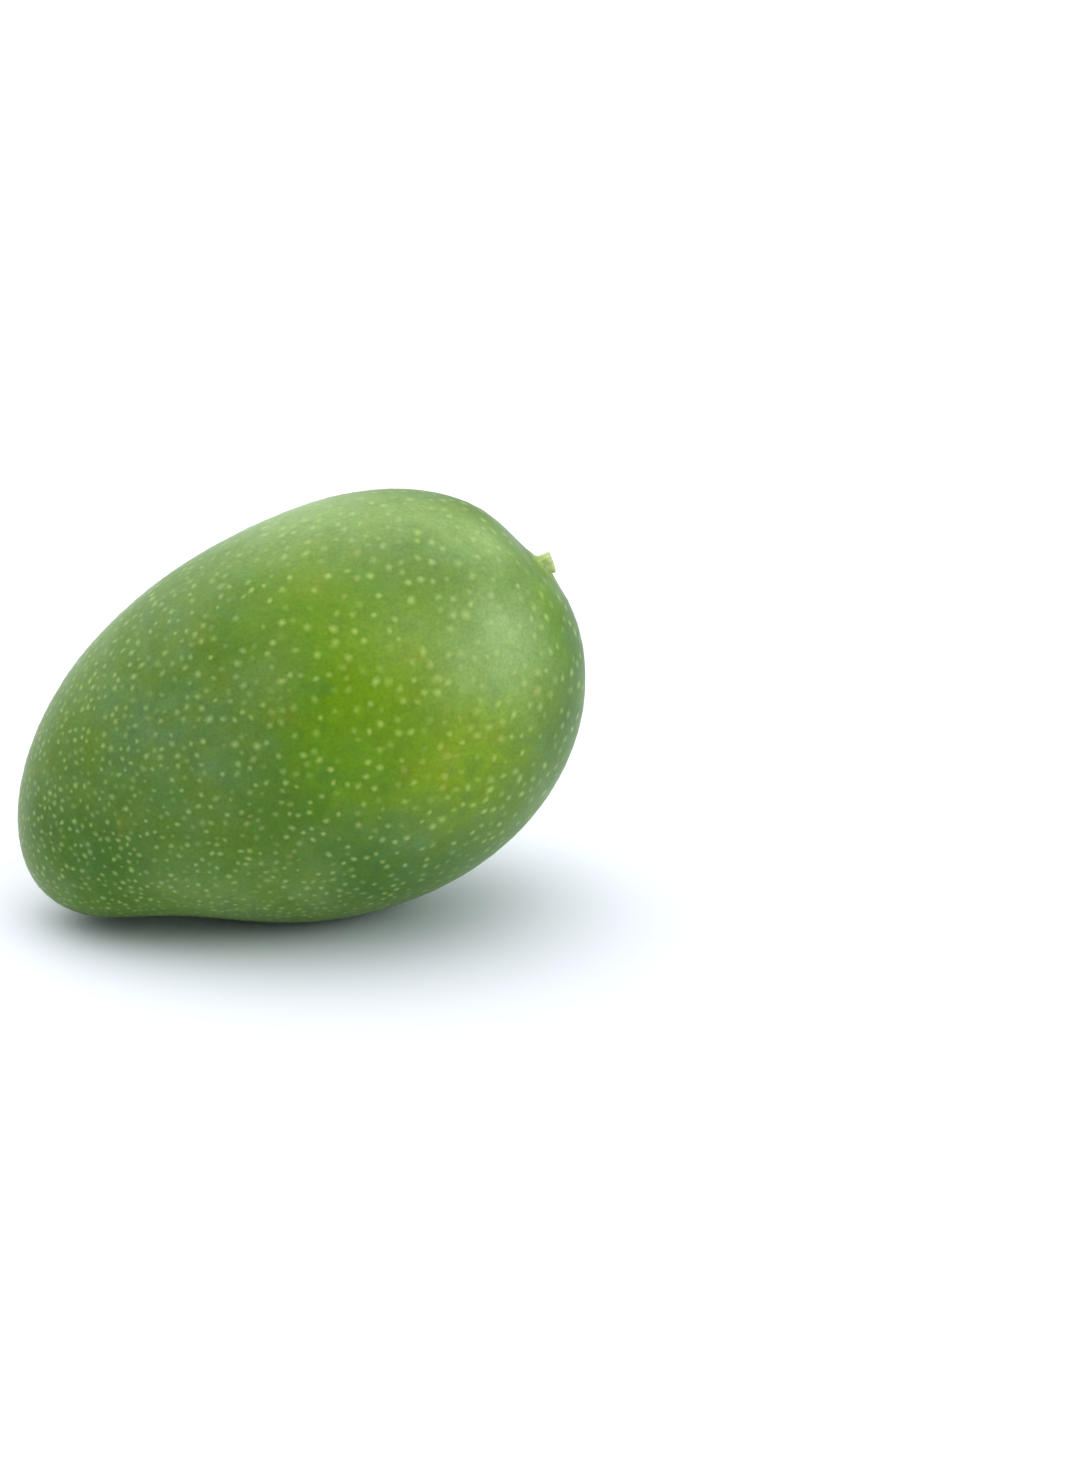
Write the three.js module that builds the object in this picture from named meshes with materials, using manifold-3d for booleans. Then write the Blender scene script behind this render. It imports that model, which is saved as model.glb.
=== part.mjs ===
// A whole green mango with its short cut stalk, resting on the belly, which is one narrow edge of the fruit.
// Millimetres, +Z up, +X towards the stalk. The origin is on the surface that the fruit rests on, under the
// middle of its box.
//
// The fruit is a ball of unit directions pushed out to the skin. Its core line runs from the tip, at -1,
// to the stalk, at +1. The back is the full side away from the belly, and the cheeks are the two broad sides.

import * as THREE from "three";
import { mergeVertices } from "three/addons/utils/BufferGeometryUtils.js";
import Module from "manifold-3d";

// Fruit, from the middle of its core line
const HALF_LENGTH = 62.7; // to the tip, and to the stalk
const HALF_DEPTH = 42.3; // to the back, and to the belly
const HALF_WIDTH = 36; // to either cheek
const GIRTH = [1, 0.198, 0.036, -0.022, -0.009]; // girth along the core line, by powers of the place on it
const BEND = [0, 0, 2.35, 10.2, 1.2]; // rise of the core line towards the back, by the same powers
const BACK_BREADTH = 0.06; // how much broader the back is than the belly
const SHOULDER_FALL = 14.2; // how far the back shoulder slopes off from the stalk

// Dent in the belly, which leaves the beak by the tip
const SINUS_DEPTH = 7.35;
const SINUS_PLACE = -0.65; // on the core line
const SINUS_SPREAD = 0.295; // along the core line
const SINUS_REACH = 26.9; // towards either cheek

// Shallow hollow beside the stalk
const HOLLOW_DEPTH = 2;
const HOLLOW_OFFSET = 4.5; // its middle, from the stalk towards the back
const HOLLOW_RADIUS = 8.9;

// Rest
const PITCH = 19.8; // degrees, stalk end up
const LEAN = 6.8; // degrees, back tipped towards +Y
const SEAT_DEPTH = 1; // flat spot taken off the belly

// Stalk, along its own axis from the skin
const STALK_RADIUS = 2.2;
const STALK_OUT = 2.5; // to the cut end
const STALK_IN = 2; // to the foot in its socket
const FOOT_RADIUS = 3.2;
const FLARE_RISE = 1.1; // height above the skin where the flare of the foot has run out
const CUT_BEVEL = 0.3;
const STALK_TILT = 4.4; // degrees, from the core line towards the back
const SOCKET_GAP = 0.3;

// Fineness
const FRUIT_DETAIL = 15; // cuts along each edge of a twenty-sided ball
const STALK_SIDES = 32;
const FLARE_STEPS = 6;

const SKIN_GREEN = 0x7f9f45;
const STALK_GREEN = 0x9bb56c;

const wasm = await Module();
wasm.setup();

function toSolid(geometry) {
  const bare = geometry.clone();
  bare.deleteAttribute("normal");
  bare.deleteAttribute("uv");
  const merged = mergeVertices(bare);
  const vertProperties = Float32Array.from(merged.getAttribute("position").array);
  const triVerts = Uint32Array.from(merged.index.array);
  return new wasm.Manifold(new wasm.Mesh({ numProp: 3, vertProperties, triVerts }));
}

function toGeometry(solid) {
  const { vertProperties, triVerts } = solid.getMesh();
  const geometry = new THREE.BufferGeometry();
  geometry.setAttribute("position", new THREE.BufferAttribute(vertProperties, 3));
  geometry.setIndex(new THREE.BufferAttribute(triVerts, 1));
  geometry.computeVertexNormals();
  return geometry;
}

function powers(factors, value) {
  return factors.reduce((sum, factor, power) => sum + factor * value ** power, 0);
}

function bell(value) {
  return Math.exp(-(value ** 2));
}

// The skin in a unit direction: x along the core line, y across to a cheek, z towards the back.
function skinPoint({ x: along, y: across, z: back }) {
  const girth = powers(GIRTH, along);
  const y = HALF_WIDTH * across * girth * (1 + BACK_BREADTH * back);

  const belly = Math.max(-back, 0) ** 2;
  const sinus = SINUS_DEPTH * belly * bell((along - SINUS_PLACE) / SINUS_SPREAD) * bell(y / SINUS_REACH);
  const z = HALF_DEPTH * back * girth + powers(BEND, along) + sinus;

  const shoulder = SHOULDER_FALL * back * Math.max(along, 0) ** 2;
  const offAxis = Math.hypot(HALF_DEPTH * back - HOLLOW_OFFSET, HALF_WIDTH * across);
  const hollow = along > 0 ? HOLLOW_DEPTH * bell(offAxis / HOLLOW_RADIUS) : 0;
  const x = HALF_LENGTH * along - shoulder - hollow;
  return new THREE.Vector3(x, y, z);
}

function skinGeometry() {
  const ball = new THREE.IcosahedronGeometry(1, FRUIT_DETAIL);
  const position = ball.getAttribute("position");
  const direction = new THREE.Vector3();
  for (let i = 0; i < position.count; i += 1) {
    direction.fromBufferAttribute(position, i).normalize();
    position.setXYZ(i, ...skinPoint(direction));
  }
  return ball;
}

// Turns the fruit as it rests, then brings the middle of its box over the origin and the seat down to z = 0.
function restingPlace(skin) {
  const turn = new THREE.Euler(THREE.MathUtils.degToRad(-LEAN), THREE.MathUtils.degToRad(-PITCH), 0);
  const turned = new THREE.Matrix4().makeRotationFromEuler(turn);
  const laid = skin.clone().applyMatrix4(turned);
  laid.computeBoundingBox();
  const middle = laid.boundingBox.getCenter(new THREE.Vector3());
  const drop = laid.boundingBox.min.z + SEAT_DEPTH;
  return new THREE.Matrix4().makeTranslation(-middle.x, -middle.y, -drop).multiply(turned);
}

// The stalk's foot on the skin, with local +Y out along the stalk.
function stalkPlace(resting) {
  const tilt = THREE.MathUtils.degToRad(STALK_TILT);
  const outward = new THREE.Vector3(Math.cos(tilt), 0, Math.sin(tilt)).transformDirection(resting);
  const place = new THREE.Object3D();
  place.position.copy(skinPoint(new THREE.Vector3(1, 0, 0))).applyMatrix4(resting);
  place.quaternion.setFromUnitVectors(new THREE.Vector3(0, 1, 0), outward);
  place.updateMatrix();
  return place;
}

function groundBlock() {
  const side = 4 * HALF_LENGTH;
  return new THREE.BoxGeometry(side, side, side).translate(0, 0, -side / 2);
}

function socketHole(place) {
  const depth = STALK_IN + SOCKET_GAP;
  const height = depth + 2 * STALK_OUT;
  const radius = FOOT_RADIUS + SOCKET_GAP;
  const hole = new THREE.CylinderGeometry(radius, radius, height, STALK_SIDES);
  return hole.translate(0, height / 2 - depth, 0).applyMatrix4(place.matrix);
}

function fruit(skin, resting, stalkAt) {
  const grown = toSolid(skin.clone().applyMatrix4(resting));
  const seated = grown.subtract(toSolid(groundBlock()));
  const socketed = seated.subtract(toSolid(socketHole(stalkAt)));
  const peel = new THREE.MeshStandardMaterial({ color: SKIN_GREEN, roughness: 0.45, metalness: 0 });
  const mesh = new THREE.Mesh(toGeometry(socketed), peel);
  mesh.name = "fruit";
  return mesh;
}

function stalkProfile() {
  const points = [new THREE.Vector2(0, -STALK_IN), new THREE.Vector2(FOOT_RADIUS, -STALK_IN)];
  for (let step = 0; step <= FLARE_STEPS; step += 1) {
    const way = step / FLARE_STEPS;
    const ease = (1 - Math.cos(Math.PI * way)) / 2;
    const radius = THREE.MathUtils.lerp(FOOT_RADIUS, STALK_RADIUS, ease);
    points.push(new THREE.Vector2(radius, way * FLARE_RISE));
  }
  points.push(new THREE.Vector2(STALK_RADIUS, STALK_OUT - CUT_BEVEL));
  points.push(new THREE.Vector2(STALK_RADIUS - CUT_BEVEL, STALK_OUT));
  points.push(new THREE.Vector2(0, STALK_OUT));
  return points;
}

function stalk(stalkAt) {
  const bark = new THREE.MeshStandardMaterial({ color: STALK_GREEN, roughness: 0.6, metalness: 0 });
  const mesh = new THREE.Mesh(new THREE.LatheGeometry(stalkProfile(), STALK_SIDES), bark);
  mesh.name = "stalk";
  mesh.position.copy(stalkAt.position);
  mesh.quaternion.copy(stalkAt.quaternion);
  return mesh;
}

const skin = skinGeometry();
const resting = restingPlace(skin);
const stalkAt = stalkPlace(resting);

const mango = new THREE.Group();
mango.add(fruit(skin, resting, stalkAt));
mango.add(stalk(stalkAt));

export default mango;
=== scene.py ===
"""A whole green mango with its short cut stalk: fine skin with lenticels, stalk, light and camera.

Shapes are worked out in millimetres in the fruit's own frame, where x runs along the core line to the
stalk, y across to a cheek and z towards the back. They are then laid in the frame of the solid model.
"""

import math

import bmesh
import bpy
import numpy as np
from mathutils import Matrix, Vector, kdtree, noise
from mathutils.geometry import delaunay_2d_cdt


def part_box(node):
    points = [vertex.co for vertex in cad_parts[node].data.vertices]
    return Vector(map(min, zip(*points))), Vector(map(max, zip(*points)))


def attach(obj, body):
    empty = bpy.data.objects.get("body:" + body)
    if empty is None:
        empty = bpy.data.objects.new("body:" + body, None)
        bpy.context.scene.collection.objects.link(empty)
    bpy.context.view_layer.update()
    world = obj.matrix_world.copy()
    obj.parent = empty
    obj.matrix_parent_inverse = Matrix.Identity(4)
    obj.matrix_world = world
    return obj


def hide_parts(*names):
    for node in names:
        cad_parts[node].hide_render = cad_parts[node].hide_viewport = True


MM = 0.001
SEED = 41

# Fruit, in millimetres, as in the solid model
HALF_LENGTH = 62.7
HALF_DEPTH = 42.3
HALF_WIDTH = 36.0
GIRTH = (1, 0.198, 0.036, -0.022, -0.009)
BEND = (0, 0, 2.35, 10.2, 1.2)
BACK_BREADTH = 0.06
SHOULDER_FALL = 14.2
SINUS_DEPTH = 7.35
SINUS_PLACE = -0.65
SINUS_SPREAD = 0.295
SINUS_REACH = 26.9
HOLLOW_DEPTH = 2.0
HOLLOW_OFFSET = 4.5
HOLLOW_RADIUS = 8.9
PITCH = math.radians(19.8)
LEAN = math.radians(6.8)
SEAT_DEPTH = 1.0
SEAT_ROUNDING = 0.3
SEAT_REACH = 4.0  # above this height the seat leaves the skin alone

# Stalk, in millimetres
STALK_RADIUS = 2.2
STALK_OUT = 2.5
STALK_IN = 1.6
FOOT_RADIUS = 3.1
FOOT_TAPER = 0.9  # of the radius, at the very bottom
FLARE_DEPTH = 0.7 * STALK_IN
FLARE_HASTE = 1.9  # how many times sooner than the rim the flare has run out
FLARE_STEPS = 22
STALK_TILT = math.radians(4.4)
STALK_SIDES = 72

# Bark: ribs as share of the radius, number and turn, then a rough skin
BARK_RIBS = ((0.045, 7, 1.3), (0.03, 13, 0.4))
BARK_ROUGH = 0.06
BARK_STRETCH = 0.9

# Cut end of the stalk: rings of vertices by share of the radius, and two dips by depth and share
CUT_ROUNDING = 0.25
CUT_CORNERS = (0.35, 0.7, 1.0)
CUT_RINGS = (0.86, 0.8, 0.74, 0.66, 0.58, 0.5, 0.42, 0.34, 0.27, 0.2, 0.13, 0.06)
CUT_DIPS = ((0.1, 0.6), (0.16, 0.17))
CUT_CROWN = 0.04
CUT_SLANT = 0.1
SLANT_TURN = 0.8
SLANT_START = 0.3 * STALK_OUT
CUT_FIBRES = 0.07
FIBRE_SCALE = 2.6
FIBRE_LAYER = 7
ROUGH_FROM = STALK_OUT - 0.26
PALE_FROM = STALK_OUT - 0.3
PALE_WITHIN = 0.93 * STALK_RADIUS
FOOT_SHADE = (-0.2, 1.1)  # heights between which the foot's colour fades

# Skin mesh, in millimetres
SKIN_STEP = 0.95
STEP_AT_STALK = 0.3
STALK_ZONE = 8.0
RING_POINTS = 8
DOT_CORE = 0.6
DOT_RIM = 1.75
DOT_CORE_TONE = 0.62
DOT_TONE = (0.2, 0.75)
DOT_RISE = 0.05
DOT_STRETCH = 0.22
DOT_WOBBLE = 0.07
DOT_MARGIN = (1.15, 0.12)  # plain skin keeps this many rims and this far from a lenticel

# Relief of the skin, in millimetres: height and size of its waves
BROAD_WAVES = (0.09, 24)
FINE_WAVES = (0.025, 4.5)

# Swelling round the stalk, in millimetres: height, distance from the axis and breadth
SWELLING = (0.52, 2.6, 2.3)
SWELLING_DIP = (0.2, 1.6)
WRINKLES = (0.06, 3.4, 1.5)
WRINKLE_COUNT = 11
WRINKLE_STRAY = 6
PALE_RING = (3.0, 1.5)

# Lenticels: spacing and radius at the tip and at the stalk, in millimetres
SPACING = (2.3, 3.9)
DOT_RADIUS = (0.41, 0.6)
CLOSEST = 0.6
TO_THE_BACK = 0.25  # how much the back counts as the stalk end
STALK_END = 0.75
DARTS_PER_DOT = 40
RADIUS_SPREAD = 0.15
RADIUS_LIMITS = (0.7, 1.4)
BARE_ROUND_STALK = 1.9 * FOOT_RADIUS

# Camera: the photograph's view of the fruit
PHOTO_WIDE = 1080
PHOTO_HIGH = 1476
MM_PER_PX = 0.21
CAMERA_FAR = 900.0
CAMERA_DOWN = math.radians(22)
CAMERA_TURN = math.radians(4.7)
FRUIT_PX = (300.5, 707.5)
SENSOR = 36.0


def powers(factors, value):
    return sum(factor * value**power for power, factor in enumerate(factors))


def bell(value):
    return np.exp(-(value**2))


def unit(vectors):
    return vectors / np.linalg.norm(vectors, axis=-1, keepdims=True)


def ramp(value, low, high):
    """Rises smoothly from 0 at low to 1 at high."""
    way = np.clip((value - low) / (high - low), 0, 1)
    return way * way * (3 - 2 * way)


# Shape of the fruit


def skin_points(directions):
    """The smooth skin for unit directions from the middle of the core line."""
    along, across, back = directions.T
    girth = powers(GIRTH, along)
    y = HALF_WIDTH * across * girth * (1 + BACK_BREADTH * back)
    belly = np.maximum(-back, 0) ** 2
    sinus = SINUS_DEPTH * belly * bell((along - SINUS_PLACE) / SINUS_SPREAD) * bell(y / SINUS_REACH)
    z = HALF_DEPTH * back * girth + powers(BEND, along) + sinus
    shoulder = SHOULDER_FALL * back * np.maximum(along, 0) ** 2
    off_axis = np.hypot(HALF_DEPTH * back - HOLLOW_OFFSET, HALF_WIDTH * across)
    hollow = HOLLOW_DEPTH * bell(off_axis / HOLLOW_RADIUS) * (along > 0)
    x = HALF_LENGTH * along - shoulder - hollow
    return np.stack([x, y, z], axis=1)


def tangents(directions):
    """Two unit vectors square to each direction."""
    helper = np.where(np.abs(directions[:, :1]) < 0.8, [[1.0, 0, 0]], [[0, 1.0, 0]])
    first = unit(np.cross(directions, helper))
    return first, np.cross(directions, first)


def skin_frames(directions):
    """Points, outward normals and, for each of two tangent steps, the move on the skin in mm."""
    step = 1e-4
    points = skin_points(directions)
    moves = [(skin_points(unit(directions + step * way)) - points) / step for way in tangents(directions)]
    normals = unit(np.cross(*moves))
    return points, normals, moves


def spread_round(centres, offsets):
    """Directions whose skin points lie at the given offsets in mm from the skin at each centre."""
    _, normals, (move_a, move_b) = skin_frames(centres)
    side, up = tangents(normals)
    map_to_skin = np.stack(
        [
            np.stack([np.sum(move_a * side, 1), np.sum(move_b * side, 1)], 1),
            np.stack([np.sum(move_a * up, 1), np.sum(move_b * up, 1)], 1),
        ],
        1,
    )
    steps = np.einsum("nij,nkj->nki", np.linalg.inv(map_to_skin), offsets)
    way_a, way_b = tangents(centres)
    spread = centres[:, None] + steps[..., :1] * way_a[:, None] + steps[..., 1:] * way_b[:, None]
    return unit(spread)


def sunflower_ball(count):
    """Evenly scattered directions, in a spiral about the core line."""
    order = np.arange(count) + 0.5
    along = 1 - 2 * order / count
    turn = order * math.pi * (3 - math.sqrt(5))
    round_it = np.sqrt(1 - along**2)
    return np.stack([along, round_it * np.cos(turn), round_it * np.sin(turn)], axis=1)


def skin_area_share(directions):
    """Skin area for each unit of solid angle."""
    _, _, moves = skin_frames(directions)
    return np.linalg.norm(np.cross(*moves), axis=1)


# Lenticels


def from_tip_to_stalk(directions, at_tip, at_stalk):
    """A value that changes smoothly from the tip to the stalk."""
    toward_stalk = ramp(directions[:, 0] + TO_THE_BACK * directions[:, 2], -STALK_END, STALK_END)
    return at_tip + (at_stalk - at_tip) * toward_stalk


def local_spacing(directions):
    return from_tip_to_stalk(directions, *SPACING)


def lenticels(rng):
    """Centres and radii of the lenticels, thrown at random but never too close."""
    probe = sunflower_ball(4000)
    area = skin_area_share(probe)
    solid_angle = 4 * math.pi / len(probe)
    wanted = int(np.sum(area * solid_angle / local_spacing(probe) ** 2))
    darts = unit(rng.normal(size=(DARTS_PER_DOT * wanted, 3)))
    weight = skin_area_share(darts) / local_spacing(darts) ** 2
    darts = darts[rng.random(len(darts)) < weight / weight.max()]
    points = skin_points(darts)
    spacing = local_spacing(darts)
    kept = []
    kept_points = np.empty((wanted, 3))
    for i, point in enumerate(points):
        gaps = kept_points[: len(kept)] - point
        if len(kept) and np.min(np.einsum("ij,ij->i", gaps, gaps)) < (CLOSEST * spacing[i]) ** 2:
            continue
        kept_points[len(kept)] = point
        kept.append(i)
        if len(kept) == wanted:
            break
    centres = darts[kept]
    radii = from_tip_to_stalk(centres, *DOT_RADIUS)
    radii *= np.clip(rng.normal(1, RADIUS_SPREAD, len(kept)), *RADIUS_LIMITS)
    clear_of_stalk = np.linalg.norm(skin_points(centres) - stalk_foot(), axis=1) > BARE_ROUND_STALK
    return centres[clear_of_stalk], radii[clear_of_stalk]


def dot_rings(rng, centres, radii):
    """Directions of the two rings of points round each lenticel."""
    count = len(centres)
    turn = 2 * math.pi * (np.arange(RING_POINTS)[None] / RING_POINTS + rng.random((count, 1)))
    lean = rng.random((count, 1)) * math.pi
    stretch = 1 + DOT_STRETCH * rng.random((count, 1)) * np.cos(2 * (turn - lean))
    wobble = 1 + DOT_WOBBLE * rng.normal(size=(count, RING_POINTS))
    rings = []
    for share in (DOT_CORE, DOT_RIM):
        reach = share * radii[:, None] * stretch * wobble
        offsets = np.stack([reach * np.cos(turn), reach * np.sin(turn)], axis=2)
        rings.append(spread_round(centres, offsets))
    return rings


# Skin mesh


def stalk_foot():
    return skin_points(np.array([[1.0, 0, 0]]))[0]


def stalk_axis():
    return np.array([math.cos(STALK_TILT), 0, math.sin(STALK_TILT)])


def directions_by_stalk():
    """Directions of a fine spiral on the skin round the stalk."""
    pole = np.array([[1.0, 0, 0]])
    count = int((STALK_ZONE / STEP_AT_STALK) ** 2)
    order = np.arange(count) + 0.5
    reach = STALK_ZONE * np.sqrt(order / count)
    turn = order * math.pi * (3 - math.sqrt(5))
    return spread_round(pole, np.stack([reach * np.cos(turn), reach * np.sin(turn)], 1)[None])[0]


def plain_directions(centres, radii):
    """Directions of the plain skin between the lenticels, finer round the stalk."""
    area = 4 * math.pi * np.mean(skin_area_share(sunflower_ball(2000)))
    broad = sunflower_ball(int(area / SKIN_STEP**2))
    close = directions_by_stalk()
    foot = stalk_foot()
    broad_gap = np.linalg.norm(skin_points(broad) - foot, axis=1)
    close_gap = np.linalg.norm(skin_points(close) - foot, axis=1)
    edge = close_gap.max()
    all_plain = np.concatenate([broad[broad_gap > edge + 0.5 * SKIN_STEP], close])
    tree = kdtree.KDTree(len(centres))
    for i, point in enumerate(skin_points(centres)):
        tree.insert(point, i)
    tree.balance()
    clear = []
    for point in skin_points(all_plain):
        _, index, gap = tree.find(point)
        clear.append(gap > DOT_RIM * radii[index] * DOT_MARGIN[0] + DOT_MARGIN[1])
    return all_plain[np.array(clear)]


def relief(points, dot):
    """How far the real skin stands out from the smooth one, in mm."""
    broad_rise, broad_size = BROAD_WAVES
    fine_rise, fine_size = FINE_WAVES
    uneven = np.array([noise.fractal(Vector(p) / broad_size, 1.0, 2.0, 2) for p in points])
    fine = np.array([noise.noise(Vector(p) / fine_size) for p in points])
    by_stalk = (points[:, 0] > 0) * swelling(points, fine)
    return broad_rise * uneven + fine_rise * fine + by_stalk + DOT_RISE * dot


def swelling(points, stray):
    """The low wrinkled swelling of the skin round the stalk, in mm."""
    from_foot = points - stalk_foot()
    side = np.linalg.norm(from_foot - np.outer(from_foot @ stalk_axis(), stalk_axis()), axis=1)
    turn = np.arctan2(from_foot[:, 2], from_foot[:, 1])
    rise, middle, breadth = SWELLING
    dip, dip_breadth = SWELLING_DIP
    depth, place, spread = WRINKLES
    collar = rise * bell((side - middle) / breadth) - dip * bell(side / dip_breadth)
    wrinkle = depth * np.cos(WRINKLE_COUNT * turn + WRINKLE_STRAY * stray) * bell((side - place) / spread)
    return collar + wrinkle


def lay(points):
    """Turns points of the fruit's own frame as the fruit rests, still in mm, before the shift."""
    cos_p, sin_p, cos_l, sin_l = math.cos(PITCH), math.sin(PITCH), math.cos(LEAN), math.sin(LEAN)
    pitched = np.array([[cos_p, 0, -sin_p], [0, 1, 0], [sin_p, 0, cos_p]])
    leaned = np.array([[1, 0, 0], [0, cos_l, sin_l], [0, -sin_l, cos_l]])
    return points @ (leaned @ pitched).T


def resting_shift():
    """The move that puts the laid fruit where the solid model has it."""
    laid = lay(skin_points(sunflower_ball(20000)))
    low, high = laid.min(axis=0), laid.max(axis=0)
    return np.array([-(low[0] + high[0]) / 2, -(low[1] + high[1]) / 2, -low[2] - SEAT_DEPTH])


def seated(points):
    """Flattens what would reach below the surface that the fruit rests on."""
    out = points.copy()
    z = out[:, 2]
    out[:, 2] = (z + np.sqrt(z**2 + SEAT_ROUNDING**2)) / 2
    high = z > SEAT_REACH
    out[high, 2] = z[high]
    return out


def join_round(directions):
    """Triangles through directions all round: flat Delaunay of their view from the belly pole."""
    flat = directions[:, :2] / (1 + directions[:, 2:])
    found = delaunay_2d_cdt([Vector(p) for p in flat.tolist()], [], [], 0, 1e-12)
    origins = [first[0] for first in found[3]]
    return [[origins[v] for v in face] for face in found[2]]


def mesh_object(name, points, faces, material):
    """A closed smooth mesh in metres, with any hole filled and its faces turned out."""
    mesh = bpy.data.meshes.new(name)
    mesh.from_pydata((points * MM).tolist(), [], faces)
    build = bmesh.new()
    build.from_mesh(mesh)
    rim = [edge for edge in build.edges if edge.is_boundary]
    if rim:
        bmesh.ops.holes_fill(build, edges=rim, sides=0)
    bmesh.ops.triangulate(build, faces=[face for face in build.faces if len(face.verts) > 4])
    bmesh.ops.recalc_face_normals(build, faces=build.faces)
    build.to_mesh(mesh)
    build.free()
    mesh.polygons.foreach_set("use_smooth", [True] * len(mesh.polygons))
    mesh.materials.append(material)
    obj = bpy.data.objects.new(name, mesh)
    bpy.context.scene.collection.objects.link(obj)
    return obj


def paint(obj, name, red, green, blue):
    """Stores three numbers for each vertex, for the material to read."""
    layer = obj.data.attributes.new(name, "FLOAT_COLOR", "POINT")
    values = np.stack([red, green, blue, np.ones_like(red)], axis=1)
    layer.data.foreach_set("color", values.astype(np.float32).ravel())


# Colour zones of the skin: direction of each spot, its reach in mm and its strength

WARM_SPOTS = (
    ((0.17, -0.99, 0.03), 13, 1.0),
    ((0.30, -0.94, -0.12), 12, 0.8),
    ((0.35, -0.91, 0.22), 12, 0.5),
    ((0.28, -0.80, 0.52), 13, 0.6),
    ((0.12, -0.64, 0.76), 10, 0.5),
    ((0.32, -0.70, 0.64), 9, 0.4),
    ((0.44, -0.74, 0.50), 9, 0.5),
    ((0.96, -0.29, -0.03), 6, 0.9),
    # The next spot, on the right edge, is partly a painted green reflection
    ((0.91, -0.38, -0.20), 7, 0.5),
    ((0.25, 0.92, 0.25), 24, 0.9),
    ((-0.35, 0.85, 0.40), 12, 0.4),
    ((0.10, 0.20, -0.97), 22, 0.5),
)
RIPE_SPOTS = (
    ((0.42, -0.84, -0.35), 12, 0.75),
    ((0.54, -0.79, -0.29), 12, 0.5),
    ((0.73, -0.66, -0.19), 10, 0.5),
    ((0.38, -0.88, 0.28), 12, 0.55),
    ((0.57, -0.78, 0.25), 10, 0.45),
    ((0.62, -0.77, -0.08), 10, 0.5),
    ((0.25, -0.55, 0.80), 7, 0.4),
    ((0.55, 0.78, -0.30), 16, 0.7),
)
# Deep green, partly painted shade: the spots on the right edge and low on the right side paint shade and a
# dark reflection
DEEP_GREEN_AND_SHADE_SPOTS = (
    ((0.02, -0.99, -0.05), 13, 0.85),
    ((-0.69, -0.72, -0.04), 11, 0.6),
    ((-0.43, -0.85, -0.30), 10, 0.3),
    ((0.18, -0.66, -0.73), 10, 0.4),
    ((0.03, -0.72, -0.70), 10, 0.4),
    ((0.93, -0.27, -0.24), 8, 1.0),
    ((0.80, -0.40, -0.45), 10, 0.8),
    ((0.27, -0.63, -0.72), 12, 0.9),
    ((0.15, -0.85, -0.50), 13, 0.6),
    ((-0.86, -0.46, 0.23), 9, 0.5),
    ((-0.70, -0.65, -0.25), 12, 0.5),
    ((0.10, 0.97, -0.20), 12, 0.6),
    ((0.85, 0.40, -0.34), 10, 0.7),
)
COOL_SPOTS = (
    ((-0.41, -0.82, 0.39), 12, 0.8),
    ((-0.20, -0.96, 0.20), 9, 0.25),
    ((0.25, -0.81, -0.50), 9, 0.6),
    ((-0.40, -0.60, 0.70), 16, 0.4),
    ((0.30, -0.55, -0.78), 12, 0.4),
    ((0.70, 0.60, 0.40), 16, 0.6),
    ((-0.50, 0.80, -0.30), 20, 0.6),
)
# Pale waxy bloom, partly a painted highlight: the spots on the right shoulder and along the top ridge also
# paint soft reflections of the lights
BLOOM_AND_HIGHLIGHT_SPOTS = (
    ((0.77, -0.62, 0.03), 13, 0.9),
    ((0.86, -0.31, 0.41), 10, 0.55),
    ((0.49, -0.27, 0.83), 14, 0.35),
    ((0.20, 0.10, 0.97), 20, 0.7),
    ((-0.45, 0.20, 0.89), 18, 0.4),
    ((-0.47, -0.71, -0.53), 12, 0.2),
    ((-0.14, -0.75, -0.64), 10, 0.15),
    ((0.92, -0.28, 0.28), 7, 0.5),
    ((0.72, -0.24, 0.65), 8, 0.3),
    ((0.47, -0.79, 0.39), 9, 0.2),
    ((0.09, -0.86, 0.51), 8, 0.2),
    ((0.66, -0.74, 0.11), 9, 0.15),
    ((0.65, 0.70, 0.20), 14, 0.7),
)


# Where lenticels are brown: direction of each spot and its reach in mm
SCAB_SPOTS = (
    ((-0.21, -0.96, -0.18), 3.5),
    ((-0.14, -0.90, -0.41), 5.0),
    ((0.42, -0.88, -0.24), 5.0),
    ((0.38, -0.67, 0.64), 4.0),
    ((-0.10, 0.95, 0.20), 5.0),
    ((0.50, 0.75, 0.40), 4.0),
)
SCAB_CHANCE = 0.02
SCAB_ALONE = (0.3, 0.8)
SCAB_CROWDED = (0.2, 0.9)


def spots(points, listed):
    """Strength from 0 to 1 of the listed colour spots at each point."""
    total = np.zeros(len(points))
    for direction, reach, strength in listed:
        middle = skin_points(unit(np.array([direction])))[0]
        total += strength * bell(np.linalg.norm(points - middle, axis=1) / reach)
    return np.clip(total, 0, 1)


def on_dots(at_centres, count, core=1.0, rim=0.0, plain=0.0):
    """A value for each vertex of the skin: each lenticel's own, faded on its rings, and one elsewhere."""
    values = np.full(count, plain)
    centre_count = len(at_centres)
    ring_count = centre_count * RING_POINTS
    on_ring = np.repeat(at_centres, RING_POINTS)
    values[:centre_count] = at_centres
    values[centre_count:][:ring_count] = core * on_ring
    values[centre_count + ring_count :][:ring_count] = rim * on_ring
    return values


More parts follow.
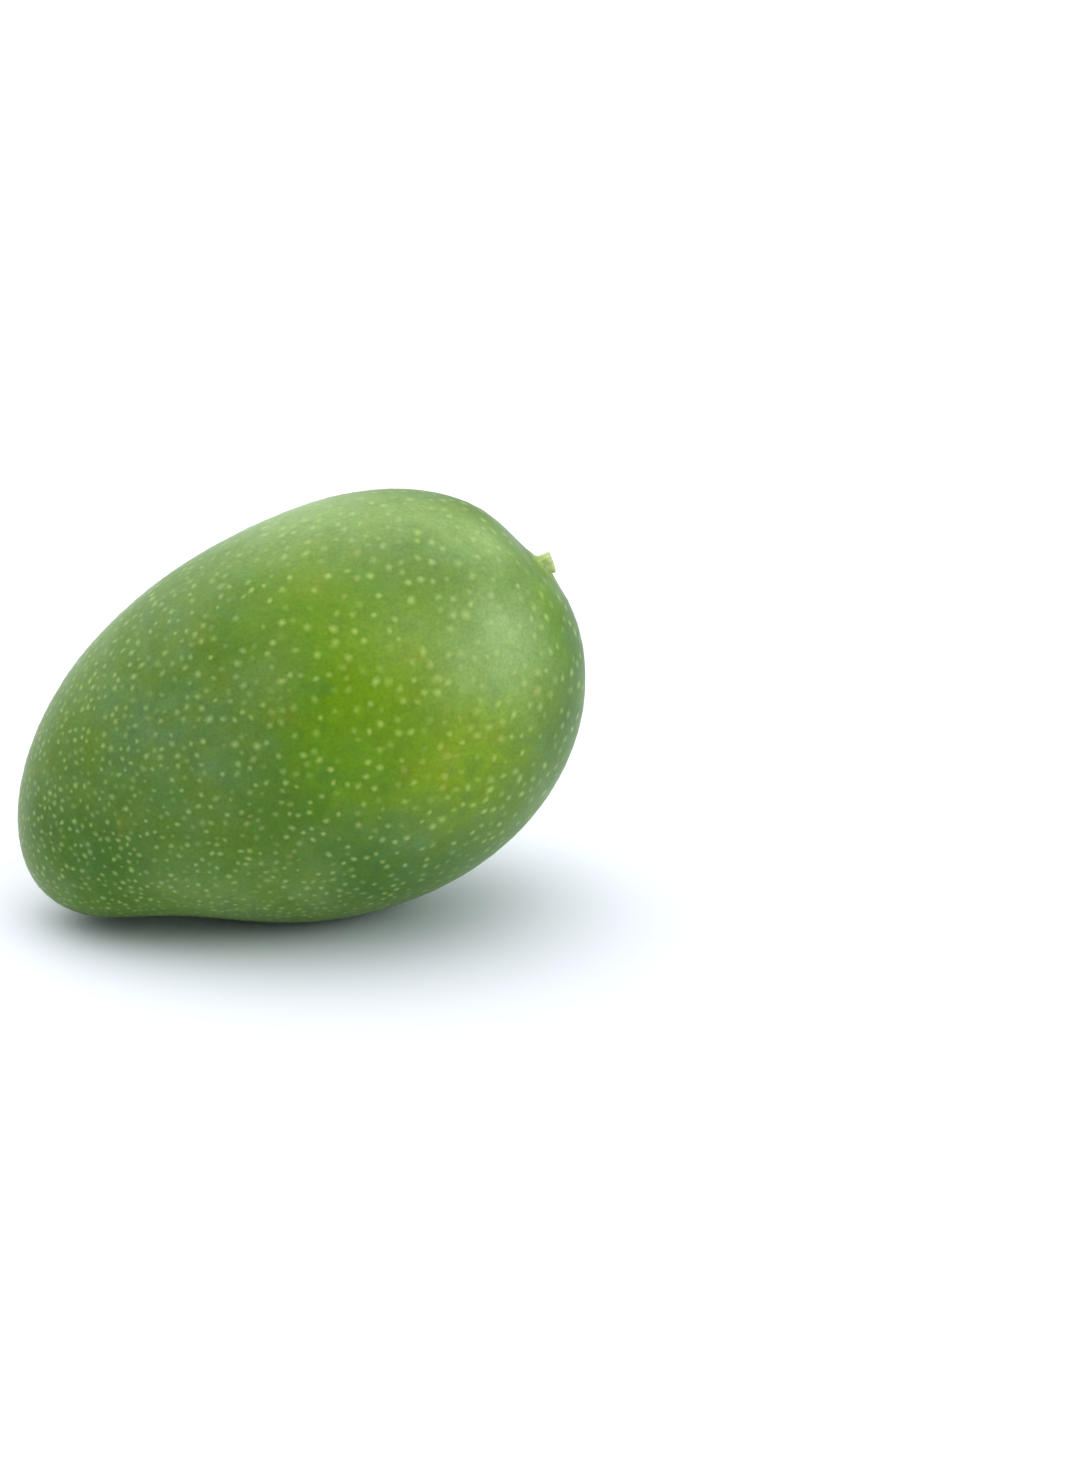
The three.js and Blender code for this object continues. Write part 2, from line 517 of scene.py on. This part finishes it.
def make_skin(rng, material):
    """Vertices come in this order: lenticel centres, core rings, rim rings, plain skin."""
    centres, radii = lenticels(rng)
    core, rim = dot_rings(rng, centres, radii)
    plain = plain_directions(centres, radii)
    directions = np.concatenate([centres, core.reshape(-1, 3), rim.reshape(-1, 3), plain])
    count = len(directions)
    dot = on_dots(np.ones(len(centres)), count)
    dot_tone = on_dots(rng.uniform(*DOT_TONE, len(centres)), count, core=DOT_CORE_TONE)
    dot_tint = on_dots(rng.random(len(centres)), count, rim=1.0, plain=0.5)
    scab = on_dots(scabs(rng, centres), count)
    points, normals, _ = skin_frames(directions)
    real = points + normals * relief(points, dot)[:, None]
    placed = seated(lay(real) + resting_shift())
    skin = mesh_object("fruit_skin", placed, join_round(directions), material)
    ring_at, ring_breadth = PALE_RING
    ring = bell((np.linalg.norm(points - stalk_foot(), axis=1) - ring_at) / ring_breadth)
    paint(skin, "zones", spots(points, WARM_SPOTS), spots(points, COOL_SPOTS), ring)
    paint(skin, "dots", dot_tone, scab, dot_tint)
    # The veils carry pale bloom that is partly a painted highlight, deep green that is partly painted shade,
    # and the ripe tint
    paint(skin, "veils_and_painted_light", spots(points, BLOOM_AND_HIGHLIGHT_SPOTS), spots(points, DEEP_GREEN_AND_SHADE_SPOTS), spots(points, RIPE_SPOTS))
    return skin


def scabs(rng, centres):
    """How brown each lenticel is: those near a few spots, and one in fifty elsewhere."""
    places = skin_points(centres)
    brown = (rng.random(len(centres)) < SCAB_CHANCE) * rng.uniform(*SCAB_ALONE, len(centres))
    for direction, reach in SCAB_SPOTS:
        middle = skin_points(unit(np.array([direction])))[0]
        near = np.linalg.norm(places - middle, axis=1) < reach
        brown = np.where(near, rng.uniform(*SCAB_CROWDED, len(centres)), brown)
    return brown


# Stalk


def stalk_profile():
    """Radius and height pairs from the hidden foot to the middle of the cut."""
    pairs = [(FOOT_RADIUS * FOOT_TAPER, -STALK_IN)]
    for way in np.linspace(0, 1, FLARE_STEPS):
        ease = (1 - math.cos(math.pi * min(1, way * FLARE_HASTE))) / 2
        radius = FOOT_RADIUS + (STALK_RADIUS - FOOT_RADIUS) * ease
        height = -FLARE_DEPTH + way * (STALK_OUT + FLARE_DEPTH - CUT_ROUNDING)
        pairs.append((radius, height))
    for way in CUT_CORNERS:
        corner = 0.5 * math.pi * way
        radius = STALK_RADIUS - CUT_ROUNDING * (1 - math.cos(corner))
        height = STALK_OUT - CUT_ROUNDING * (1 - math.sin(corner))
        pairs.append((radius, height))
    for share in CUT_RINGS:
        dip = sum(depth * bell(share / reach) for depth, reach in CUT_DIPS)
        pairs.append((STALK_RADIUS * share, STALK_OUT - dip + CUT_CROWN))
    return pairs


def stalk_row(radius, height):
    """One ring of the stalk's points, with the bark's ribs, the slant of the cut and its fibres."""
    turn = 2 * math.pi * np.arange(STALK_SIDES) / STALK_SIDES
    ribs = sum(depth * np.cos(number * turn + start) for depth, number, start in BARK_RIBS)
    round_it = [(STALK_RADIUS * math.cos(a), STALK_RADIUS * math.sin(a), BARK_STRETCH * height) for a in turn]
    rough = np.array([BARK_ROUGH * noise.noise(Vector(p)) for p in round_it])
    share = min(1, radius / STALK_RADIUS)
    real = radius * (1 + share * (ribs + rough))
    slant = CUT_SLANT * real * np.cos(turn - SLANT_TURN) * ramp(height, SLANT_START, STALK_OUT)
    x, y = real * np.cos(turn), real * np.sin(turn)
    grain = [noise.noise(Vector((FIBRE_SCALE * a, FIBRE_SCALE * b, FIBRE_LAYER))) for a, b in zip(x, y)]
    fibres = CUT_FIBRES * np.array(grain) * (height > ROUGH_FROM)
    return np.stack([x, y, height + slant + fibres], axis=1)


def ring_faces(row_count):
    """Four-sided faces between the rings of the stalk."""
    faces = []
    for row in range(row_count - 1):
        start = row * STALK_SIDES
        for i in range(STALK_SIDES):
            j = (i + 1) % STALK_SIDES
            faces.append([start + i, start + j, start + STALK_SIDES + j, start + STALK_SIDES + i])
    return faces


def make_stalk(material):
    pairs = stalk_profile()
    local = np.concatenate([stalk_row(radius, height) for radius, height in pairs])
    axis = stalk_axis()
    side = np.array([0, 1.0, 0])
    along_stalk = np.stack([side, np.cross(axis, side), axis])
    placed = lay(stalk_foot() + local @ along_stalk) + resting_shift()
    stalk = mesh_object("stalk_bark", placed, ring_faces(len(pairs)), material)
    pale = [float(height > PALE_FROM and radius < PALE_WITHIN) for radius, height in pairs]
    cut = np.repeat(pale, STALK_SIDES)
    foot = 1 - ramp(local[:, 2], *FOOT_SHADE)
    paint(stalk, "parts", cut, foot, np.hypot(local[:, 0], local[:, 1]) / STALK_RADIUS)
    return stalk


# Materials


def srgb(red, green, blue):
    """A colour as seen on a screen, from 0 to 255, as the shader's linear numbers."""
    parts = [c / 255 for c in (red, green, blue)]
    linear = [p / 12.92 if p <= 0.04045 else ((p + 0.055) / 1.055) ** 2.4 for p in parts]
    return (*linear, 1.0)


LEAF_GREEN = srgb(84, 124, 20)
MUTED_GREEN = srgb(100, 134, 56)
WARM_GREEN = srgb(98, 144, 0)
RIPE_GREEN = srgb(124, 156, 6)
COOL_GREEN = srgb(102, 136, 76)
# Pale bloom colour, also used for a painted highlight
BLOOM_AND_HIGHLIGHT_PALE = srgb(154, 188, 116)
# Deep green, also used for painted shade
DEEP_GREEN_AND_SHADE = srgb(56, 104, 0)
OLIVE = srgb(126, 132, 30)
SHADE_GREEN = srgb(74, 118, 52)
DOT_COOL = srgb(174, 202, 134)
DOT_WARM = srgb(182, 206, 112)
DOT_YELLOW = srgb(190, 214, 102)
WARMER = (1.05, 1.0, 0.74, 1.0)
COOLER = (0.95, 1.0, 1.26, 1.0)
SCAB_BROWN = srgb(176, 140, 84)
FOOT_GREEN = srgb(138, 168, 88)
STALK_GREEN = srgb(196, 218, 150)
STALK_SHADE = srgb(164, 190, 112)
CUT_WOOD = srgb(214, 202, 142)
CUT_DRY = srgb(178, 150, 92)
CUT_PITH = srgb(140, 112, 66)
CUT_RING = srgb(168, 178, 96)
FLOOR_WHITE = srgb(240, 245, 255)

# How strongly each colour covers what is below it
DEEP_AND_SHADE_SHARE = 0.85
COOL_SHARE = 0.7
OLIVE_SHARE = 0.4
SHADE_SHARE = 0.3
RING_SHARE = 0.5
FOOT_SHARE = 0.6

# Noise, in waves for each metre
BROAD_SCALE = 38
PATCH_SCALE = 95
FLECK_SCALE = 170
MOTTLE_SCALE = 280
BLOTCH_SCALE = 500
PORE_SCALE = 700
STREAK_SCALE = 1400
GRAIN_SCALE = 1500


class Shade:
    """One material's nodes, added and linked by short calls."""

    def __init__(self, name):
        self.material = bpy.data.materials.new(name)
        self.material.use_nodes = True
        self.tree = self.material.node_tree
        self.skin = self.tree.nodes["Principled BSDF"]

    def add(self, kind, **settings):
        node = self.tree.nodes.new(kind)
        for key, value in settings.items():
            setattr(node, key, value)
        return node

    def feed(self, socket, value):
        if isinstance(value, bpy.types.NodeSocket):
            self.tree.links.new(value, socket)
        else:
            socket.default_value = value

    def stored(self, name):
        """Red, green and blue of a vertex attribute, as three outputs."""
        found = self.add("ShaderNodeAttribute", attribute_name=name)
        parts = self.add("ShaderNodeSeparateColor")
        self.feed(parts.inputs["Color"], found.outputs["Color"])
        return parts.outputs[0], parts.outputs[1], parts.outputs[2]

    def place(self):
        return self.add("ShaderNodeTexCoord").outputs["Object"]

    def noise(self, scale, detail=2.0, rough=0.5, warp=0.0):
        node = self.add("ShaderNodeTexNoise")
        self.feed(node.inputs["Vector"], self.place())
        node.inputs["Scale"].default_value = scale
        node.inputs["Detail"].default_value = detail
        node.inputs["Roughness"].default_value = rough
        node.inputs["Distortion"].default_value = warp
        return node.outputs["Fac"]

    def between(self, value, low, high, to_low=0.0, to_high=1.0):
        node = self.add("ShaderNodeMapRange", interpolation_type="SMOOTHSTEP")
        for socket, number in zip(node.inputs, (value, low, high, to_low, to_high)):
            self.feed(socket, number)
        return node.outputs["Result"]

    def math(self, operation, first, second=0.0):
        node = self.add("ShaderNodeMath", operation=operation)
        self.feed(node.inputs[0], first)
        self.feed(node.inputs[1], second)
        return node.outputs[0]

    def mix(self, share, first, second, blend="MIX"):
        node = self.add("ShaderNodeMix", data_type="RGBA", blend_type=blend)
        self.feed(node.inputs["Factor"], share)
        self.feed(node.inputs["A"], first)
        self.feed(node.inputs["B"], second)
        return node.outputs["Result"]

    def bump(self, height, strength, distance):
        node = self.add("ShaderNodeBump")
        node.inputs["Strength"].default_value = strength
        node.inputs["Distance"].default_value = distance
        self.feed(node.inputs["Height"], height)
        self.feed(self.skin.inputs["Normal"], node.outputs["Normal"])

    def set(self, name, value):
        self.feed(self.skin.inputs[name], value)


def add_zones(shade, patch, broad, zones):
    """The skin's ground colour with its broad zones, some broken up by the patchy noise."""
    warm, cool, ripe, deep_and_shade = zones
    color = shade.mix(shade.between(broad, 0.35, 0.65), LEAF_GREEN, MUTED_GREEN)
    # Deep green, partly painted shade on the right edge and the lower right
    color = shade.mix(shade.math("MULTIPLY", deep_and_shade, DEEP_AND_SHADE_SHARE), color, DEEP_GREEN_AND_SHADE)
    for zone, tint in ((warm, WARM_GREEN), (ripe, RIPE_GREEN)):
        broken = shade.math("MULTIPLY", zone, shade.between(patch, 0.25, 0.65, 0.6, 1.0))
        color = shade.mix(broken, color, tint)
    stray = shade.between(patch, 0.52, 0.75, 0.0, 0.35)
    return shade.mix(shade.math("ADD", shade.math("MULTIPLY", cool, COOL_SHARE), stray), color, COOL_GREEN)


def add_flecks(shade, color):
    """Small patches that are warmer or cooler, a few of them olive or dark."""
    fleck = shade.noise(FLECK_SCALE, 2.0, 0.5)
    hue = shade.mix(shade.between(fleck, 0.3, 0.7), COOLER, WARMER)
    color = shade.mix(1.0, color, hue, "MULTIPLY")
    color = shade.mix(shade.between(fleck, 0.62, 0.8, 0.0, OLIVE_SHARE), color, OLIVE)
    return shade.mix(shade.between(fleck, 0.2, 0.42, SHADE_SHARE, 0.0), color, SHADE_GREEN)


def add_mottle(shade, color):
    """Fine light and dark mottling."""
    mottle = shade.between(shade.noise(MOTTLE_SCALE, 2.0, 0.6, 0.5), 0.3, 0.7, 0.935, 1.06)
    grain = shade.between(shade.noise(GRAIN_SCALE, 2.0, 0.6), 0.3, 0.7, 0.91, 1.09)
    return shade.mix(1.0, color, shade.math("MULTIPLY", mottle, grain), "MULTIPLY")


def add_lenticels(shade, color, dots, sunny):
    """Pale lenticels, yellower on the warm and ripe skin, some of them brown."""
    dot, scab, dot_tint = dots
    dot_color = shade.mix(dot_tint, DOT_COOL, DOT_WARM)
    dot_color = shade.mix(sunny, dot_color, DOT_YELLOW)
    dot_color = shade.mix(scab, dot_color, SCAB_BROWN)
    return shade.mix(dot, color, dot_color)


def skin_material():
    shade = Shade("mango_skin")
    warm, cool, ring = shade.stored("zones")
    bloom_and_highlight, deep_and_shade, ripe = shade.stored("veils_and_painted_light")
    broad = shade.noise(BROAD_SCALE, 3.0, 0.55, 0.6)
    patch = shade.noise(PATCH_SCALE, 3.0, 0.6, 0.4)
    color = add_zones(shade, patch, broad, (warm, cool, ripe, deep_and_shade))
    color = add_flecks(shade, color)
    # Pale bloom, partly a painted highlight on the right shoulder and the top ridge
    bloom_haze_and_highlight = shade.math("MULTIPLY", bloom_and_highlight, shade.between(broad, 0.3, 0.7, 0.7, 1.0))
    color = shade.mix(bloom_haze_and_highlight, color, BLOOM_AND_HIGHLIGHT_PALE)
    color = add_mottle(shade, color)
    color = shade.mix(shade.math("MULTIPLY", ring, RING_SHARE), color, STALK_SHADE)
    sunny = shade.math("MULTIPLY", shade.math("MAXIMUM", warm, ripe), shade.math("SUBTRACT", 1.0, bloom_and_highlight))
    color = add_lenticels(shade, color, shade.stored("dots"), sunny)
    shade.set("Base Color", color)
    shade.set("Roughness", shade.between(patch, 0.3, 0.7, 0.36, 0.46))
    shade.set("IOR", 1.4)
    shade.set("Specular IOR Level", 0.25)
    shade.set("Sheen Weight", 0.06)
    shade.set("Sheen Roughness", 0.45)
    shade.bump(shade.noise(PORE_SCALE, 3.0, 0.55), 0.2, 0.2 * MM)
    return shade.material


def stalk_material():
    shade = Shade("stalk_bark")
    cut, foot, out = shade.stored("parts")
    streak = shade.noise(STREAK_SCALE, 3.0, 0.6)
    blotch = shade.noise(BLOTCH_SCALE, 2.0, 0.5)
    color = shade.mix(shade.between(blotch, 0.35, 0.65), STALK_GREEN, STALK_SHADE)
    color = shade.mix(shade.math("MULTIPLY", foot, FOOT_SHARE), color, FOOT_GREEN)
    cut_color = shade.mix(shade.between(streak, 0.4, 0.65), CUT_WOOD, CUT_DRY)
    cut_color = shade.mix(shade.between(out, 0.12, 0.26, 1.0, 0.0), cut_color, CUT_PITH)
    cut_color = shade.mix(shade.between(out, 0.7, 0.84, 0.0, 0.8), cut_color, CUT_RING)
    color = shade.mix(cut, color, cut_color)
    shade.set("Base Color", color)
    shade.set("Roughness", shade.between(streak, 0.3, 0.7, 0.55, 0.8))
    shade.bump(streak, 0.5, 0.2 * MM)
    return shade.material


def floor_material():
    shade = Shade("studio_floor")
    shade.set("Base Color", FLOOR_WHITE)
    shade.set("Roughness", 0.7)
    shade.set("Specular IOR Level", 0.2)
    return shade.material


# Studio

FLOOR_REACH = 6000.0
SKY_DIM = 0.06
BACKDROP = (1.0, 1.0, 1.0, 1.0)
LOW_LIGHT = (0.9, 0.95, 1.08, 1.0)
HIGH_LIGHT = (1.03, 1.0, 0.96, 1.0)

# Soft lights round the fruit: azimuth from +X and elevation in degrees, narrowness and strength
SKY_LIGHTS = (
    (0, 88, 7, 2.75),
    (152, 45, 7, 1.6),
    (105, 14, 7, 0.8),
    (-36, 12, 7, 0.65),
    (-50, 45, 7, 0.55),
    (-13, 24, 30, 2.6),
    (95, 22, 30, 0.6),
    (40, 30, 12, 0.6),
)


def make_floor():
    corners = [[-1, -1, 0], [1, -1, 0], [1, 1, 0], [-1, 1, 0]]
    points = FLOOR_REACH * np.array(corners)
    mesh = bpy.data.meshes.new("studio_floor")
    mesh.from_pydata((points * MM).tolist(), [], [[0, 1, 2, 3]])
    mesh.materials.append(floor_material())
    floor = bpy.data.objects.new("studio_floor", mesh)
    bpy.context.scene.collection.objects.link(floor)


def sky_math(tree, operation, *values):
    node = tree.nodes.new("ShaderNodeMath")
    node.operation = operation
    for socket, value in zip(node.inputs, values):
        if isinstance(value, bpy.types.NodeSocket):
            tree.links.new(value, socket)
        else:
            socket.default_value = value
    return node.outputs[0]


def sky_strength(tree, toward):
    """The dim surround with every soft light added to it."""
    total = SKY_DIM
    for azimuth, elevation, narrow, strength in SKY_LIGHTS:
        turn, rise = math.radians(azimuth), math.radians(elevation)
        flat = math.cos(rise)
        axis = Vector((flat * math.cos(turn), flat * math.sin(turn), math.sin(rise)))
        facing = tree.nodes.new("ShaderNodeVectorMath")
        facing.operation = "DOT_PRODUCT"
        facing.inputs[1].default_value = axis * narrow
        tree.links.new(toward, facing.inputs[0])
        fade = sky_math(tree, "EXPONENT", sky_math(tree, "SUBTRACT", facing.outputs["Value"], float(narrow)))
        total = sky_math(tree, "MULTIPLY_ADD", fade, strength, total)
    return total


def sky_tint(tree, toward):
    """Cooler light from low down, warmer light from above."""
    height = tree.nodes.new("ShaderNodeSeparateXYZ")
    tree.links.new(toward, height.inputs[0])
    tint = tree.nodes.new("ShaderNodeMix")
    tint.data_type = "RGBA"
    tint.inputs["A"].default_value = LOW_LIGHT
    tint.inputs["B"].default_value = HIGH_LIGHT
    tree.links.new(height.outputs["Z"], tint.inputs["Factor"])
    return tint.outputs["Result"]


def make_sky():
    """A surround that is dim but for a few wide soft lights, and plain white as a backdrop."""
    world = bpy.data.worlds.new("studio")
    world.use_nodes = True
    tree = world.node_tree
    toward = tree.nodes.new("ShaderNodeTexCoord").outputs["Generated"]
    light = tree.nodes["Background"]
    tree.links.new(sky_tint(tree, toward), light.inputs["Color"])
    tree.links.new(sky_strength(tree, toward), light.inputs["Strength"])
    backdrop = tree.nodes.new("ShaderNodeBackground")
    backdrop.inputs["Color"].default_value = BACKDROP
    seen = tree.nodes.new("ShaderNodeMixShader")
    tree.links.new(tree.nodes.new("ShaderNodeLightPath").outputs["Is Camera Ray"], seen.inputs[0])
    tree.links.new(light.outputs[0], seen.inputs[1])
    tree.links.new(backdrop.outputs[0], seen.inputs[2])
    tree.links.new(seen.outputs[0], tree.nodes["World Output"].inputs["Surface"])
    bpy.context.scene.world = world
    bpy.context.scene.view_settings.view_transform = "Standard"


def make_camera():
    """Stands where the photograph's camera stood, with the fruit's middle at its place in the frame."""
    low, high = (np.array(corner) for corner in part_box("fruit"))
    middle = (low + high) / 2
    middle[2] -= SEAT_DEPTH * MM / 2
    forward = np.array(
        [
            math.sin(CAMERA_TURN) * math.cos(CAMERA_DOWN),
            math.cos(CAMERA_TURN) * math.cos(CAMERA_DOWN),
            -math.sin(CAMERA_DOWN),
        ]
    )
    right = np.array([math.cos(CAMERA_TURN), -math.sin(CAMERA_TURN), 0])
    up = np.cross(right, forward)
    off_right = (FRUIT_PX[0] - PHOTO_WIDE / 2) * MM_PER_PX
    off_up = (PHOTO_HIGH / 2 - FRUIT_PX[1]) * MM_PER_PX
    place = middle - (right * off_right + up * off_up + forward * CAMERA_FAR) * MM
    lens = bpy.data.cameras.new("camera")
    lens.sensor_width = SENSOR
    lens.lens = CAMERA_FAR * SENSOR / (PHOTO_HIGH * MM_PER_PX)
    camera = bpy.data.objects.new("camera", lens)
    turned = Matrix([[right[i], up[i], -forward[i]] for i in range(3)]).to_4x4()
    camera.matrix_world = Matrix.Translation(Vector(place)) @ turned
    bpy.context.scene.collection.objects.link(camera)
    bpy.context.scene.camera = camera


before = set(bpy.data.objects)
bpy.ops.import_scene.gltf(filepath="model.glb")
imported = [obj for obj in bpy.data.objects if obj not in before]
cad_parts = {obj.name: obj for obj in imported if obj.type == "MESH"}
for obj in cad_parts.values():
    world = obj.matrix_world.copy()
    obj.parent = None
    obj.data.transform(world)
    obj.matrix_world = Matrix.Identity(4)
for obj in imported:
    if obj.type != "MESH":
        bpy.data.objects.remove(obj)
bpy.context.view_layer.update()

make_camera()
rng = np.random.default_rng(SEED)
skin = make_skin(rng, skin_material())
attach(skin, "root")
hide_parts("fruit")

stalk = make_stalk(stalk_material())
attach(stalk, "root")
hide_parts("stalk")

make_floor()
make_sky()
